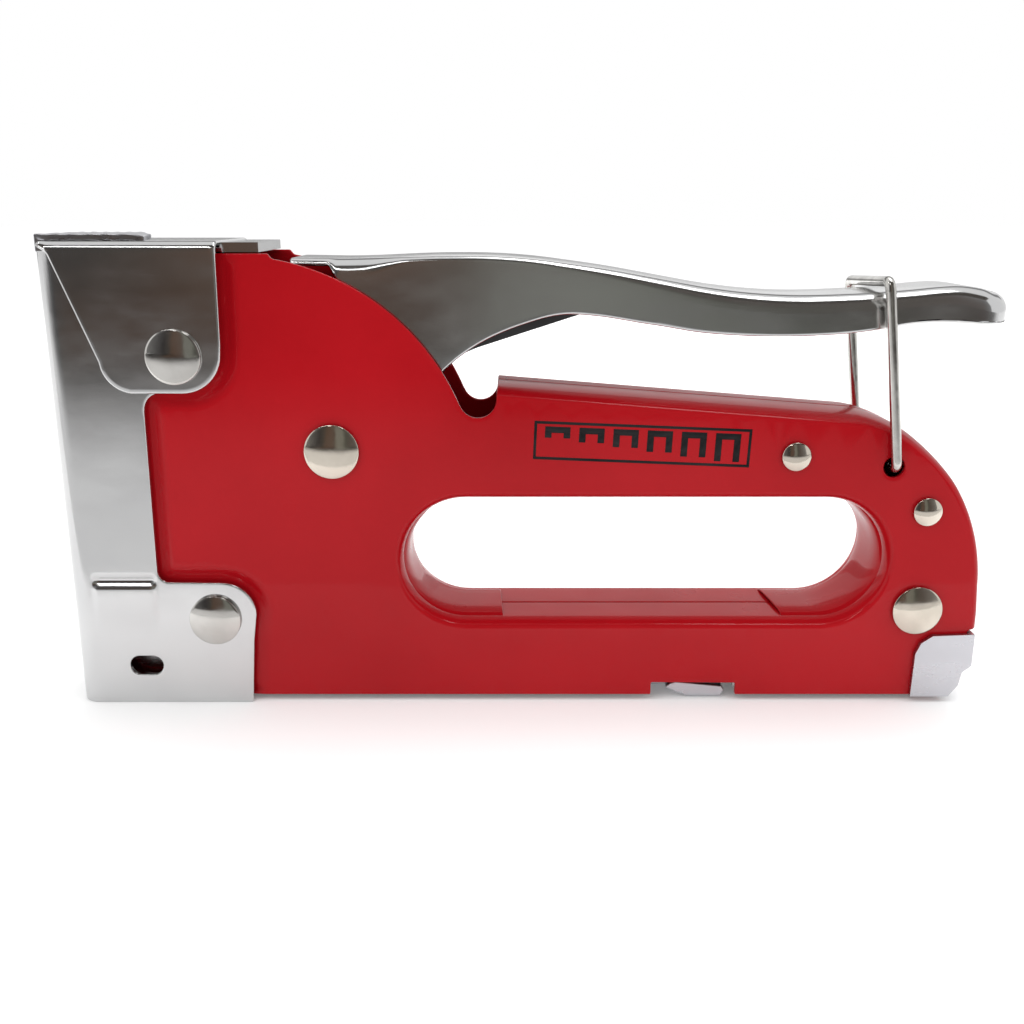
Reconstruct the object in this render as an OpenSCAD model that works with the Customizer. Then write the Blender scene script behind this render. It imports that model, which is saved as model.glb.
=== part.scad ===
// Hand staple gun, light duty, for staples with an 11.3 mm crown. Millimetres, +Z up.
// The nose is at -X, the lever's free end at +X, the left side plate at -Y. The origin
// is under the middle of the whole gun, level with the foot of the nose.

/* [Body] */
// Outside of one side plate, measured from the middle
shell_y = 10.3; // [9.8:0.1:10.3]
// Sheet thickness of the side plates
shell_t = 1.0; // [0.8:0.1:1.0]
// Radius of each end of the grip opening
grip_r = 11.4; // [11.0:0.1:11.8]

/* [Nose] */
// Sheet thickness of the nose plate
nose_t = 0.95; // [0.8:0.05:0.95]
// Radius of the nose plate's two upright corners
nose_r = 3.5; // [2.5:0.5:4.5]

/* [Lever] */
// Outside half width of the lever channel
lever_y = 9.0; // [8.0:0.1:9.0]
// Sheet thickness of the lever
lever_t = 1.1; // [0.8:0.1:1.4]

/* [Wire] */
// Radius of the lock loop's wire
wire_r = 0.9; // [0.7:0.1:0.95]

/* [Hidden] */

cap_at = [-59.5, 64.0];
piv_at = [-33.8, 47.3];
low_at = [-56.0, 16.5];
rear_at = [70.9, 18.0];
small_at = [[47.2, 46.5], [71.1, 36.4]];
loop_at = [64.7, 44.4];
bar_at = [60.8, 75.4];
grip_a = [-10.6, 27.0];
grip_b = [53.6, 27.0];
tail_c = [46.6, 21.1];
tail_r = 35.84;
tail_d = [55.5, 31.7];
rod_z = 8.6;
rim_h = 0.8;
$fn = 64;

function arc(c, r, a0, a1, n) =
  [for (i = [0 : n]) let (a = a0 + (a1 - a0) * i / n) [c[0] + r * cos(a), c[1] + r * sin(a)]];
function ring(c, r, n) = [for (i = [0 : n - 1]) [c[0] + r * cos(360 * i / n), c[1] + r * sin(360 * i / n)]];

// A flat shape drawn in X and Z, made solid between two Y values.
module slab(y0, y1) {
  translate([0, y1, 0]) rotate([90, 0, 0]) linear_extrude(y1 - y0) children();
}

// A round bar along Y.
module bar(at, r, y0, y1) {
  translate([at[0], y1, at[1]]) rotate([90, 0, 0]) cylinder(r = r, h = y1 - y0);
}

module box(x0, x1, y0, y1, z0, z1) {
  translate([x0, y0, z0]) cube([x1 - x0, y1 - y0, z1 - z0]);
}

// The left half mirrored onto the right.
module both() {
  children();
  mirror([0, 1, 0]) children();
}

// ---- side plates ----

// Side view of a plate: base, stepped heel, tail, handle top, notch and front arc.
module plate_2d() {
  polygon(concat(
    [[-77, 1.1], [23.4, 1.1], [23.4, 3.5], [39, 3.4], [39, 1.1], [77, 1.1]],
    [[78.4, 3.7], [78.9, 6.4], [80.7, 8], [80.7, 13.8], [82.8, 13.8], [82.8, 17]],
    arc(tail_c, tail_r, 4, 50, 18),
    arc(tail_d, 22, 50, 82, 10),
    [[-4.3, 58.4], [-4.7, 57]],
    arc([-8.3, 56.35], 3.25, -5, -160, 10),
    arc([-49.3, 39.6], 41, 23.5, 80.2, 22),
    [[-44, 80.9], [-77, 80.9]]));
}

module grip_2d(r) {
  polygon(concat(arc(grip_b, r, -90, 90, 20), arc(grip_a, r, 90, 270, 20)));
}

// The face drawn in by d along the pressed edges, full size along the cut ones.
module face_2d(d) {
  difference() {
    union() {
      offset(delta = -d) plate_2d();
      intersection() {
        plate_2d();
        translate([-80, -2]) square([75.2, 90]);
      }
      intersection() {
        plate_2d();
        translate([-80, -2]) square([160, 8]);
      }
    }
    grip_2d(grip_r + d);
  }
}

// What lies between the two plates: open at the front, the front arc, the base and heel.
module hollow_2d() {
  difference() {
    union() {
      offset(delta = -shell_t) plate_2d();
      translate([-90, 45]) square([86.5, 50]);
      translate([-90, -5]) square([60, 100]);
      translate([-90, -5]) square([180, 18.7]);
    }
    grip_2d(grip_r + shell_t);
  }
}

// The long hole low in the nose, through which the magazine is seen.
module sight_hole(r, y0, y1) {
  bar([-70.5, 7.4], r, y0, y1);
  bar([-68.1, 7.4], r, y0, y1);
  box(-70.5, -68.1, y0, y1, 7.4 - r, 7.4 + r);
}

module side_plate() {
  difference() {
    union() {
      slab(-shell_y + 1.2, -0.05) face_2d(0);
      slab(-shell_y + 0.45, -shell_y + 1.2) face_2d(0.35);
      slab(-shell_y, -shell_y + 0.45) face_2d(0.9);
    }
    slab(-shell_y + shell_t, 1) hollow_2d();
    bar(cap_at, 2.05, -12, -9);
    bar(piv_at, 2.55, -12, -9);
    bar(low_at, 1.75, -12, -9);
    bar(rear_at, 2.05, -12, -9);
    bar(loop_at, 1.85, -12, -9);
    for (p = small_at) bar(p, 1.25, -12, -9);
    sight_hole(2.3, -12, -9);
  }
}

// A drawn lip that closes the seam round one end of the grip opening.
module grip_lip(x0, x1) {
  difference() {
    union() {
      slab(-shell_y + 2.1, -0.05) grip_2d(grip_r + 0.02);
      slab(-0.06, shell_y - 2.1) grip_2d(grip_r - 0.04);
    }
    slab(-12, 12) grip_2d(grip_r - 0.5);
    box(x0, x1, -12, 12, 0, 60);
  }
}

module left_shell() {
  color([0.62, 0.06, 0.08]) {
    side_plate();
    grip_lip(-4, 90);
    grip_lip(-40, 46);
  }
}

module right_shell() {
  color([0.62, 0.06, 0.08]) mirror([0, 1, 0]) side_plate();
}

// ---- chrome nose ----

// Plan of a channel open to the rear with rounded upright corners.
module u_plan(x0, yo, r, t) {
  difference() {
    polygon(concat([[-40, -yo]], [[-40, yo]], arc([x0 + r, yo - r], r, 90, 180, 10),
      arc([x0 + r, -yo + r], r, 180, 270, 10)));
    polygon(concat([[-39, -yo + t]], [[-39, yo - t]], arc([x0 + r, yo - r], r - t, 90, 180, 10),
      arc([x0 + r, -yo + r], r - t, 180, 270, 10)));
  }
}

module nose_side_2d() {
  polygon(concat([[-90, 0], [-50.2, 0], [-49.3, 12.2]],
    arc([-54.6, 17.3], 6, 0, 90, 10),
    arc([-63.8, 25.5], 2.1, -90, -180, 6),
    [[-65.65, 54.5]],
    arc([-62.6, 54.6], 3, 180, 100, 6),
    [[-60, 58], [-60, 81.4], [-90, 81.4]]));
}

module nose_plate() {
  color([0.75, 0.76, 0.78]) {
    difference() {
      intersection() {
        linear_extrude(82) u_plan(-82.2, 11.3, nose_r, nose_t);
        slab(-12, 12) nose_side_2d();
      }
      bar(low_at, 1.75, -13, 13);
      sight_hole(1.8, -13, 13);
      bar(cap_at, 2.05, -13, 13);
    }
    both() box(-78, -65.9, -11.75, -11.25, 22.3, 24.9);
  }
}

module cap_side_2d() {
  polygon(concat([[-82.2, 83], [-82.2, 82.05], [-79.4, 82.05], [-72.4, 63]],
    arc([-66.6, 63.4], 5.8, 195, 262, 6),
    arc([-58.6, 64.6], 7, 270, 350, 8),
    [[-51.5, 66], [-51.3, 83]]));
}

module top_cap() {
  color([0.7, 0.71, 0.73]) {
    difference() {
      intersection() {
        slab(-12.25, 12.25) cap_side_2d();
        translate([-90, 0, 0]) rotate([90, 0, 90]) linear_extrude(60)
          polygon(concat([[-12.25, 40]], arc([-10.75, 81.5], 1.5, 180, 90, 6),
            arc([10.75, 81.5], 1.5, 90, 0, 6), [[12.25, 40]]));
      }
      box(-90, -40, -11.35, 11.35, 40, 82.05);
      bar(cap_at, 2.05, -13, 13);
    }
    box(-83.7, -68.5, -9, 9, 82.9, 84.2);
    box(-83.7, -82.25, -9, 9, 81, 83);
  }
}

module top_strip() {
  color([0.68, 0.69, 0.71]) {
    box(-70, -44.8, -9.2, 9.2, 81.1, 81.95);
    box(-51.2, -44.8, -9.2, 9.2, 81.9, 82.7);
    both() box(-66, -62.6, -9.2, -8.3, 61, 81.2);
    both() difference() {
      box(-62.7, -55, -9.2, -8.3, 58.5, 81.2);
      bar(cap_at, 2.05, -13, -8);
    }
  }
}

// ---- rivets and spacers ----

// Domed head of a rivet on the left side.
module head(at, d, y, h) {
  e = d / 2 - 0.15;
  s = (h * h + e * e) / (2 * h);
  bar(at, d / 2, y - rim_h, y);
  intersection() {
    translate([at[0], y - rim_h - h + s, at[1]]) sphere(r = s);
    bar(at, d / 2 + 1, y - rim_h - h - 1, y - rim_h);
  }
}

module rivet(at, d, y, r, h) {
  bar(at, r, -y - 0.1, y + 0.1);
  both() head(at, d, -y, h);
}

module cap_rivet() {
  color([0.72, 0.68, 0.6]) rivet(cap_at, 9.3, 12.25, 2, 0.75);
}

module nose_rivet() {
  color([0.72, 0.68, 0.6]) rivet(low_at, 9.0, 11.3, 1.7, 0.75);
}

module pivot_rivet() {
  color([0.72, 0.68, 0.6]) rivet(piv_at, 9.5, shell_y, 2.5, 0.9);
}

module rear_rivet() {
  color([0.72, 0.68, 0.6]) rivet(rear_at, 9.0, shell_y, 2, 0.9);
}

module handle_rivets() {
  color([0.72, 0.68, 0.6]) for (p = small_at) rivet(p, 5.0, shell_y, 1.2, 0.75);
}

// Sleeves that hold the two plates apart on the rivets.
module spacers() {
  color([0.5, 0.51, 0.53]) {
    difference() {
      bar(cap_at, 3.2, -8.2, 8.2);
      bar(cap_at, 2.05, -13, 13);
    }
    difference() {
      bar(rear_at, 3.2, -9.25, 9.25);
      bar(rear_at, 2.05, -13, 13);
    }
    for (p = small_at) difference() {
      bar(p, 2.2, -9.25, 9.25);
      bar(p, 1.25, -13, 13);
    }
  }
}

// ---- striker ----

module striker_blade() {
  color([0.55, 0.56, 0.58]) box(-80.9, -79.7, -5.6, 5.6, 16.8, 61);
}

module plunger_block() {
  color([0.4, 0.41, 0.43]) difference() {
    box(-79.65, -67, -7, 7, 50, 62);
    box(-73.5, -60, -2.8, 2.8, 52.95, 57.85);
  }
}

module spring_seat() {
  color([0.5, 0.51, 0.53]) {
    translate([-73, 0, 79.7]) cylinder(r = 6.5, h = 1.3);
    translate([-73, 0, 64]) cylinder(r = 2.6, h = 16);
  }
}

// Level cut through a coil of radius c, wire radius w and pitch p, so that turning it
// on the way up leaves round wire.
function coil_cut(c, w, p, n) = let (m = 360 * w / p) concat(
  [for (i = [-n : n]) let (a = m * i / n, d = w * w - pow(p * a / 360, 2), q = c + sqrt(max(d, 0)))
    [q * cos(a), q * sin(a)]],
  [for (i = [n - 1 : -1 : 1 - n]) let (a = m * i / n, q = c - sqrt(w * w - pow(p * a / 360, 2)))
    [q * cos(a), q * sin(a)]]);

module coil(c, w, p, turns, per, n) {
  linear_extrude(height = p * turns, twist = -360 * turns, slices = per * turns, convexity = 8, $fn = 3)
    polygon(coil_cut(c, w, p, n));
}

module drive_spring() {
  color([0.45, 0.46, 0.48]) translate([-73, 0, 62.1]) coil(4.6, 0.75, 2.5, 7, 20, 5);
}

module bumper() {
  color([0.08, 0.08, 0.08]) box(-79.2, -67.5, -7, 7, 27, 33.4);
}

// ---- magazine ----

module magazine_channel() {
  color([0.62, 0.63, 0.65]) difference() {
    box(-79.3, 76.5, -6.9, 6.9, 1.2, 14.2);
    box(-80, 77, -5.95, 5.95, 0, 13.4);
    box(23.2, 39.2, -8, 8, 0, 4.2);
    bar([21.2, 2.4], 0.78, -8, 8);
  }
}

module catch_pin() {
  color([0.6, 0.6, 0.62]) bar([21.2, 2.4], 0.75, -6.9, 6.9);
}

module catch_tab() {
  color([0.74, 0.75, 0.77]) difference() {
    union() {
      slab(-5.7, 5.7) polygon([[21.2, 1.3], [24.2, 1.5], [26.4, 0.6], [28.4, 0.05], [29.4, 0],
        [36.4, 0], [37, 1.45], [29, 2.85], [25.8, 2.75], [21.2, 3.5]]);
      bar([21.2, 2.4], 1.5, -5.7, 5.7);
    }
    bar([21.2, 2.4], 0.8, -8, 8);
  }
}

module staple_rail() {
  color([0.66, 0.67, 0.69]) difference() {
    box(-79.1, 77.6, -4.7, 4.7, 5.7, 12.2);
    box(-80, 78, -3.8, 3.8, 5, 11.3);
  }
}

module pusher_rod() {
  color([0.6, 0.61, 0.63]) translate([-79, 0, rod_z]) rotate([0, 90, 0]) cylinder(r = 1.25, h = 156.6);
}

module pusher() {
  color([0.5, 0.51, 0.53]) difference() {
    union() {
      difference() {
        box(-79.2, -66, -5.6, 5.6, 4.6, 13);
        box(-80, -65, -4.85, 4.85, 5.55, 12.35);
      }
      box(-79.2, -66, -3.65, 3.65, 5.5, 11.15);
    }
    translate([-80, 0, rod_z]) rotate([0, 90, 0]) cylinder(r = 1.3, h = 20);
  }
}

module pusher_spring() {
  color([0.6, 0.61, 0.63]) translate([-65.9, 0, rod_z]) rotate([0, 90, 0]) coil(2.15, 0.4, 5.1, 28, 11, 3);
}

module clip_2d(d) {
  polygon([[71.2 - 30 * d, 1.2 - 3 * d], [71.4 - 30 * d, 9.6], [72.3 - 30 * d, 11.7],
    [74.3 - 30 * d, 13.1 + 3 * d], [81.9 - d, 13.4 + 2 * d], [81.9 - d, 7.3 + 0.4 * d],
    [80.3 - d, 6 + 0.3 * d], [79.8 - d, 3.4], [78.2 - d, 1.2 - 3 * d]]);
}

module rear_clip() {
  color([0.75, 0.76, 0.78]) {
    difference() {
      slab(-11.35, 11.35) clip_2d(0);
      slab(-10.45, 10.45) clip_2d(0.9);
    }
    box(77.6, 81.3, -5.5, 5.5, 7.4, 13);
    box(77.6, 79.2, -5.5, 5.5, 4.6, 7.5);
  }
}

// ---- lever ----

// Top edge of the lever in side view, shared by the sheet's outside and inside.
function lever_top(d) = [[-40, 80.1 - d], [-31, 80 - d], [-22.5, 80.2 - d], [-14, 80.4 - d],
  [-6, 80.35 - d], [1, 79.9 - d], [7.5, 79.1 - d], [14.5, 78.1 - d], [23, 76.6 - d],
  [31, 75.2 - d], [38.5, 74.3 - d], [46, 73.9 - d], [53, 74 - d], [60.3, 74.35 - d],
  [66, 74.8 - d], [71.2, 75.3 - d], [74.8, 75.4 - d], [78.5, 74.9 - d], [81.5, 73.7 - d]];

module lever_side_2d() {
  polygon(concat(lever_top(0), [[83.2, 72.3], [83.7, 70.6], [83.7, 69],
    [79, 69.1], [74, 69.4], [70, 69.4], [64.8, 68.9], [61.4, 68.2], [56.2, 67.5], [51, 67.2],
    [44, 67], [36.8, 67.2], [29.7, 67.7], [22.9, 68.8], [19.5, 69.3], [16, 69.9],
    [12.6, 70.4], [7.7, 70.8], [4, 70.3], [0.2, 69.2], [-3.7, 67.8], [-7.5, 66], [-11.5, 63.4],
    [-14.3, 61]],
    arc(piv_at, 8.5, -20, -200, 14), [[-40, 60], [-32.2, 78.8], [-40, 78.9]]));
}

module lever_cover() {
  color([0.7, 0.71, 0.73]) difference() {
    intersection() {
      slab(-lever_y, lever_y) lever_side_2d();
      linear_extrude(100) polygon(concat([[-60, -9.1], [77.7, -9.1]],
        arc([77.7, -3.1], 6, -90, 0, 8), arc([77.7, 3.1], 6, 0, 90, 8), [[77.7, 9.1], [-60, 9.1]]));
    }
    slab(-lever_y + lever_t, lever_y - lever_t)
      polygon(concat(lever_top(lever_t), [[82.5, 72], [82.6, 60], [-60, 30], [-60, 78.9]]));
    both() box(-60, -32.4, -12, -7.6, 78.4, 90);
    bar(piv_at, 2.56, -12, 12);
  }
}

// Inner arm: fixed inside the lever, its front finger lifts the plunger.
module lifter_arm() {
  tip = [-68.88, 55.4];
  color([0.06, 0.06, 0.065]) difference() {
    union() {
      difference() {
        slab(-7.7, 7.7) union() {
          polygon([[-36, 41.5], [-28, 43.5], [-12.2, 63.4], [-8.3, 65], [9.4, 70.7], [20, 73.1],
            [20, 74.9], [12, 76.6], [0, 78.2], [-14, 78.9], [-30, 78.6], [-38, 56]]);
          polygon(ring(piv_at, 7, 40));
        }
        slab(-6.5, 6.5) polygon([[-60, 30], [-10, 30], [30, 60], [30, 73], [20, 73.6],
          [12, 75.3], [0, 76.9], [-14, 77.6], [-60, 77.4]]);
      }
      slab(-2.5, 2.5) polygon([[-30, 41], [-29, 53.5], [-45, 54], [tip[0] + 1, tip[1] + 1.2],
        [tip[0] - 0.2, tip[1] - 1.5], [-45, 47]]);
      bar(tip, 2.2, -2.5, 2.5);
      bar(piv_at, 5, -7, 7);
    }
    bar(piv_at, 2.56, -12, 12);
  }
}

// Quarter ring of wire in the local Y-Z plane, from the leg round to the cross piece.
module bend(y, z, a) {
  translate([0, y, z]) rotate([90, 0, 90]) rotate([0, 0, a]) rotate_extrude(angle = 90)
    translate([2, 0]) circle(r = wire_r, $fn = 32);
}

module lock_loop() {
  l = norm(bar_at - loop_at);
  color([0.7, 0.71, 0.72]) translate([loop_at[0], 0, loop_at[1]])
    rotate([0, atan2(bar_at[0] - loop_at[0], bar_at[1] - loop_at[1]), 0]) {
      bar([0, l], wire_r, -9.6, 9.6);
      translate([0, -11.6, 2]) cylinder(r = wire_r, h = l - 4);
      translate([0, 11.6, 2]) cylinder(r = wire_r, h = l - 4);
      bar([0, 0], wire_r, -9.6, -8.9);
      bar([0, 0], wire_r, 8.9, 9.6);
      bend(9.6, l - 2, 0);
      bend(-9.6, l - 2, 90);
      bend(-9.6, 2, 180);
      bend(9.6, 2, 270);
    }
}

left_shell();
right_shell();
nose_plate();
top_cap();
top_strip();
cap_rivet();
nose_rivet();
pivot_rivet();
rear_rivet();
handle_rivets();
spacers();
spring_seat();
bumper();
magazine_channel();
catch_pin();
catch_tab();
lever_cover();
lifter_arm();
lock_loop();
striker_blade();
plunger_block();
drive_spring();
staple_rail();
rear_clip();
pusher_rod();
pusher();
pusher_spring();
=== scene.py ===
"""Looks of a light-duty hand staple gun, dressed round its fixed CAD frame.

Lengths inside the classes are millimetres in the part's own frame: the nose is at -X,
the lever's free end at +X and the left side plate at -Y.
"""

import logging
import math
from collections.abc import Callable, Sequence
from dataclasses import dataclass, field
from enum import Enum

import bmesh
import bpy
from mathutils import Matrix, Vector
from mathutils.geometry import delaunay_2d_cdt


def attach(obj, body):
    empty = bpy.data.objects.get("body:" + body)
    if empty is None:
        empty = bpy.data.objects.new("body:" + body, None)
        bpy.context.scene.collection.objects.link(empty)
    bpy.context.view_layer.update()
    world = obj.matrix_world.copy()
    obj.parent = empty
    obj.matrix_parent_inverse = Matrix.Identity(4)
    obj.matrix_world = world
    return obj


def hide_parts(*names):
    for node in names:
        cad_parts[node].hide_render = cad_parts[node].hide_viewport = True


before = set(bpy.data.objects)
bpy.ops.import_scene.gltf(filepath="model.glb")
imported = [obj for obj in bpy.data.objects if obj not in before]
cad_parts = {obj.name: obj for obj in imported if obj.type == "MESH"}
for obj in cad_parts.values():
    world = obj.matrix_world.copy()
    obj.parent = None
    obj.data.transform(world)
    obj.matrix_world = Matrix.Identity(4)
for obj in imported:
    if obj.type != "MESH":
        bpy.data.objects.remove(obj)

LOG = logging.getLogger("staple_gun")
MM = 0.001
WELD = 1e-4             # millimetres within which two vertices are one
SLIVER = 2e-3           # twice the area in square millimetres under which a face is dropped
CDT_MERGE = 1e-5        # millimetres within which the triangulation joins two points
Point = tuple[float, float]
Edge = tuple[float, float, float, float]
Colour = tuple[float, float, float]


class Slot(Enum):
    """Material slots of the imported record."""

    ENAMEL = "red_enamel"
    CHROME = "chrome_plate"
    NICKEL = "nickel_rivet"
    STEEL = "bare_steel"
    SPRING = "spring_steel"
    BLACK = "black_steel"
    RUBBER = "black_rubber"


# ---------------------------------------------------------------- plane geometry


def arc(centre: Point, radius: float, start: float, end: float, steps: int) -> list[Point]:
    """Points on an arc in the side view.

    Args:
        centre: Centre of the arc.
        radius: Radius of the arc.
        start: First angle in degrees.
        end: Last angle in degrees.
        steps: Number of chords.

    Returns:
        The steps + 1 points from start to end.
    """
    angles = [math.radians(start + (end - start) * i / steps) for i in range(steps + 1)]
    return [(centre[0] + radius * math.cos(a), centre[1] + radius * math.sin(a)) for a in angles]


def obround(left: Point, right: Point, radius: float, steps: int) -> list[Point]:
    """A closed slot outline round two centres on one level, anticlockwise from below the right.

    Args:
        left: Centre of the left end.
        right: Centre of the right end.
        radius: Radius of both ends.
        steps: Chords in each end.

    Returns:
        The points of the outline.
    """
    line_steps = max(1, int((right[0] - left[0]) / 2.5))
    low = [(left[0] + (right[0] - left[0]) * i / line_steps, left[1] - radius)
           for i in range(1, line_steps)]
    high = [(right[0] + (left[0] - right[0]) * i / line_steps, right[1] + radius)
            for i in range(1, line_steps)]
    return (arc(right, radius, -90, 90, steps) + high
            + arc(left, radius, 90, 270, steps) + low)


def densify(path: Sequence[Point], pitch: float) -> list[Point]:
    """Adds points to a polyline so that no span is longer than pitch.

    Args:
        path: The polyline.
        pitch: Longest span allowed.

    Returns:
        The polyline with the added points.
    """
    out: list[Point] = []
    for a, b in zip(path, path[1:]):
        n = max(1, math.ceil(math.dist(a, b) / pitch))
        out += [(a[0] + (b[0] - a[0]) * i / n, a[1] + (b[1] - a[1]) * i / n) for i in range(n)]
    return out + [path[-1]]


def with_normals(path: Sequence[Point], side: float) -> list[Edge]:
    """Gives each point of a polyline its normal.

    Args:
        path: The polyline.
        side: 1 for normals to the right of travel, -1 for the left.

    Returns:
        Tuples of x, z and the two parts of the normal.
    """
    out: list[Edge] = []
    for i, (x, z) in enumerate(path):
        a = path[max(i - 1, 0)]
        b = path[min(i + 1, len(path) - 1)]
        length = math.dist(a, b)
        out.append((x, z, side * (b[1] - a[1]) / length, -side * (b[0] - a[0]) / length))
    return out


def inside(poly: Sequence[Point], x: float, z: float) -> bool:
    """Whether a point lies inside a closed outline.

    Args:
        poly: The outline.
        x: X of the point.
        z: Z of the point.

    Returns:
        True if it lies inside.
    """
    hit = False
    for (ax, az), (bx, bz) in zip(poly, list(poly[1:]) + [poly[0]]):
        if (az > z) != (bz > z) and x < (bx - ax) * (z - az) / (bz - az) + ax:
            hit = not hit
    return hit


def distance_to(path: Sequence[Point], x: float, z: float) -> float:
    """Shortest distance from a point to a polyline.

    Args:
        path: The polyline.
        x: X of the point.
        z: Z of the point.

    Returns:
        The distance.
    """
    best = math.inf
    for (ax, az), (bx, bz) in zip(path, path[1:]):
        dx, dz = bx - ax, bz - az
        t = max(0.0, min(1.0, ((x - ax) * dx + (z - az) * dz) / (dx * dx + dz * dz)))
        best = min(best, math.hypot(x - ax - t * dx, z - az - t * dz))
    return best


def ease(value: float) -> float:
    """Smooth step from 0 to 1."""
    t = max(0.0, min(1.0, value))
    return t * t * (3 - 2 * t)


def curve_at(knots: Sequence[Point], x: float) -> float:
    """Height of a smooth curve through knots, by cubic pieces.

    Args:
        knots: Points of the curve, in order of x.
        x: Where the curve is read.

    Returns:
        The height there.
    """
    if x <= knots[0][0]:
        return knots[0][1]
    if x >= knots[-1][0]:
        return knots[-1][1]
    i = max(k for k in range(len(knots) - 1) if knots[k][0] <= x)
    p0, p1 = knots[max(i - 1, 0)], knots[i]
    p2, p3 = knots[i + 1], knots[min(i + 2, len(knots) - 1)]
    span = p2[0] - p1[0]
    m1 = (p2[1] - p0[1]) / (p2[0] - p0[0]) * span
    m2 = (p3[1] - p1[1]) / (p3[0] - p1[0]) * span
    t = (x - p1[0]) / span
    return ((2 * t**3 - 3 * t**2 + 1) * p1[1] + (t**3 - 2 * t**2 + t) * m1
            + (-2 * t**3 + 3 * t**2) * p2[1] + (t**3 - t**2) * m2)


# ---------------------------------------------------------------- materials


class Nodes:
    """A thin builder round one material's node tree."""

    def __init__(self, name: str) -> None:
        """Starts a new node material called name.

        Args:
            name: Name of the material.
        """
        self.material = bpy.data.materials.new(name)
        self.material.use_nodes = True
        self.tree = self.material.node_tree
        self.shader = self.tree.nodes["Principled BSDF"]
        self.where = self.add("ShaderNodeTexCoord").outputs["Object"]

    def add(self, kind: str, **values: object) -> bpy.types.Node:
        """Adds a node and sets plain attributes on it.

        Args:
            kind: Type of the node.
            values: Attributes to set on it.

        Returns:
            The node.
        """
        node = self.tree.nodes.new(kind)
        for key, value in values.items():
            setattr(node, key, value)
        return node

    def link(self, source: bpy.types.NodeSocket, target: bpy.types.NodeSocket) -> None:
        """Joins two sockets."""
        self.tree.links.new(source, target)

    def fix(self, **sockets: object) -> None:
        """Sets constants on the shader's own sockets, spaces written as underscores."""
        for key, value in sockets.items():
            self.shader.inputs[key.replace("_", " ")].default_value = value

    def noise(self, scale: float, detail: float = 3.0, stretch: Sequence[float] = (1, 1, 1),
              seed: float = 0.0) -> bpy.types.NodeSocket:
        """Noise over the piece's own coordinates.

        Args:
            scale: Noise scale per metre.
            detail: Octaves.
            stretch: Scaling of the three axes before the noise.
            seed: Shift that makes one noise differ from the next.

        Returns:
            The noise's factor socket.
        """
        mapping = self.add("ShaderNodeMapping")
        mapping.inputs["Scale"].default_value = tuple(stretch)
        mapping.inputs["Location"].default_value = (seed, seed * 0.7, seed * 1.3)
        self.link(self.where, mapping.inputs["Vector"])
        noise = self.add("ShaderNodeTexNoise")
        noise.inputs["Scale"].default_value = scale
        noise.inputs["Detail"].default_value = detail
        self.link(mapping.outputs["Vector"], noise.inputs["Vector"])
        return noise.outputs["Fac"]

    def ramp(self, source: bpy.types.NodeSocket,
             stops: Sequence[tuple[float, Colour]]) -> bpy.types.NodeSocket:
        """A colour ramp fed by source, with (position, colour) stops.

        Args:
            source: Factor that picks the colour.
            stops: Position and colour pairs.

        Returns:
            The colour socket.
        """
        ramp = self.add("ShaderNodeValToRGB")
        band = ramp.color_ramp
        while len(band.elements) < len(stops):
            band.elements.new(0.5)
        for element, (position, colour) in zip(band.elements, stops):
            element.position = position
            element.color = (*colour, 1.0)
        self.link(source, ramp.inputs["Fac"])
        return ramp.outputs["Color"]

    def spread(self, source: bpy.types.NodeSocket, low: float, high: float,
               start: float = 0.3, end: float = 0.7) -> bpy.types.NodeSocket:
        """Maps a factor from start-end to low-high.

        Args:
            source: The factor.
            low: Value at start.
            high: Value at end.
            start: Factor that gives low.
            end: Factor that gives high.

        Returns:
            The mapped socket.
        """
        node = self.add("ShaderNodeMapRange")
        for key, value in (("From Min", start), ("From Max", end), ("To Min", low),
                           ("To Max", high)):
            node.inputs[key].default_value = value
        self.link(source, node.inputs["Value"])
        return node.outputs["Result"]

    def bump(self, layers: Sequence[tuple[bpy.types.NodeSocket, float, float]]) -> None:
        """Chains bump layers into the shader's normal.

        Args:
            layers: Tuples of height socket, strength and depth in metres.
        """
        last: bpy.types.NodeSocket | None = None
        for height, strength, depth in layers:
            node = self.add("ShaderNodeBump")
            node.inputs["Strength"].default_value = strength
            node.inputs["Distance"].default_value = depth
            self.link(height, node.inputs["Height"])
            if last is not None:
                self.link(last, node.inputs["Normal"])
            last = node.outputs["Normal"]
        if last is not None:
            self.link(last, self.shader.inputs["Normal"])


@dataclass(frozen=True)
class Enamel:
    """Glossy baked enamel over pressed steel."""

    name: str = "red_enamel"
    deep: Colour = (0.322, 0.0033, 0.0068)
    bright: Colour = (0.392, 0.0058, 0.0105)
    peel_depth: float = 0.000012

    def build(self) -> bpy.types.Material:
        """Builds the enamel: cloudy colour, orange peel and dust nibs under a clear coat.

        Returns:
            The material.
        """
        n = Nodes(self.name)
        cloud = n.noise(26.0, 4.0)
        n.link(n.ramp(cloud, [(0.3, self.deep), (0.7, self.bright)]), n.shader.inputs["Base Color"])
        n.link(n.spread(n.noise(90.0, 3.0, seed=2.0), 0.26, 0.40), n.shader.inputs["Roughness"])
        n.fix(Coat_Weight=0.4, Coat_Roughness=0.04, Coat_IOR=1.45, Specular_IOR_Level=0.02)
        peel = n.noise(520.0, 2.0, seed=5.0)
        nibs = n.spread(n.noise(900.0, 1.0, seed=9.0), 0.0, 1.0, 0.72, 0.8)
        wave = n.noise(45.0, 2.0, seed=3.0)
        n.bump([(wave, 0.2, 0.0001), (peel, 0.3, self.peel_depth), (nibs, 0.2, 0.00002)])
        return n.material


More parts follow.
